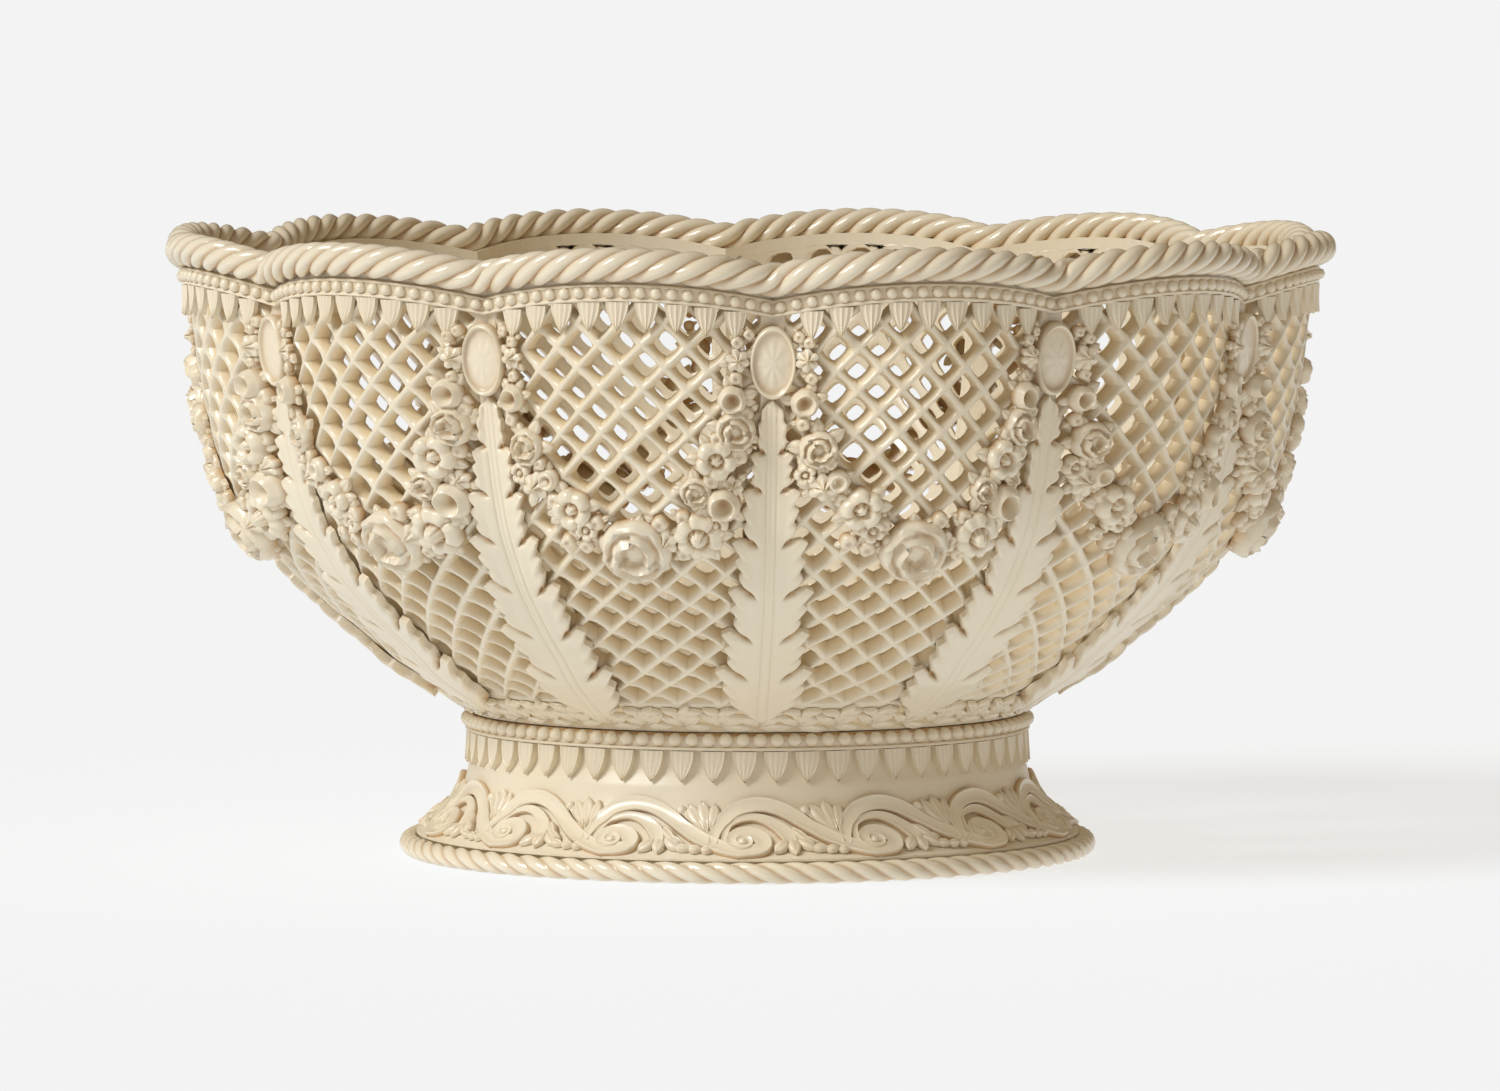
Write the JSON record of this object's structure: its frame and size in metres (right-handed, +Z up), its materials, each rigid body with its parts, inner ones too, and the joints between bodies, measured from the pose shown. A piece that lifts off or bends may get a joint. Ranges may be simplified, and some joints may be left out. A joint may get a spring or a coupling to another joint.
{
  "type": "footed openwork basket bowl",
  "caption": "Footed basket bowl in cream glazed earthenware with a lobed rim, diagonal openwork wall, rope edges, oval medallions, leaves and flower garlands.",
  "frame": {"origin": "on the floor, under the middle of the foot", "axes": "+Z up along the axis of the bowl, -Y towards the viewer through a valley between two lobes, +X to the viewer's right"},
  "size_m": [0.2994, 0.2994, 0.1618],
  "materials": {
    "glazed_wall": "gloss",
    "glazed_foot": "gloss",
    "glazed_ropes": "gloss",
    "glazed_relief": "gloss"
  },
  "bodies": {
    "root": {"wall_panel_01": "glazed_wall", "wall_panel_02": "glazed_wall", "wall_panel_03": "glazed_wall", "wall_panel_04": "glazed_wall", "wall_panel_05": "glazed_wall", "wall_panel_06": "glazed_wall", "wall_panel_07": "glazed_wall", "wall_panel_08": "glazed_wall", "wall_panel_09": "glazed_wall", "wall_panel_10": "glazed_wall", "wall_panel_11": "glazed_wall", "wall_panel_12": "glazed_wall", "medallion_01": "glazed_relief", "medallion_02": "glazed_relief", "medallion_03": "glazed_relief", "medallion_04": "glazed_relief", "medallion_05": "glazed_relief", "medallion_06": "glazed_relief", "medallion_07": "glazed_relief", "medallion_08": "glazed_relief", "medallion_09": "glazed_relief", "medallion_10": "glazed_relief", "medallion_11": "glazed_relief", "medallion_12": "glazed_relief", "acanthus_leaf_01": "glazed_relief", "acanthus_leaf_02": "glazed_relief", "acanthus_leaf_03": "glazed_relief", "acanthus_leaf_04": "glazed_relief", "acanthus_leaf_05": "glazed_relief", "acanthus_leaf_06": "glazed_relief", "acanthus_leaf_07": "glazed_relief", "acanthus_leaf_08": "glazed_relief", "acanthus_leaf_09": "glazed_relief", "acanthus_leaf_10": "glazed_relief", "acanthus_leaf_11": "glazed_relief", "acanthus_leaf_12": "glazed_relief", "flower_garland_01": "glazed_relief", "flower_garland_02": "glazed_relief", "flower_garland_03": "glazed_relief", "flower_garland_04": "glazed_relief", "flower_garland_05": "glazed_relief", "flower_garland_06": "glazed_relief", "flower_garland_07": "glazed_relief", "flower_garland_08": "glazed_relief", "flower_garland_09": "glazed_relief", "flower_garland_10": "glazed_relief", "flower_garland_11": "glazed_relief", "flower_garland_12": "glazed_relief", "rim_rope": "glazed_ropes", "rim_bead_band": "glazed_relief", "rim_tongue_band": "glazed_relief", "base_dish": "glazed_wall", "foot": "glazed_foot", "foot_bead_ring": "glazed_relief", "foot_tongue_ring": "glazed_relief", "foot_scroll_frieze": "glazed_relief", "foot_rope": "glazed_ropes"}
  },
  "joints": []
}
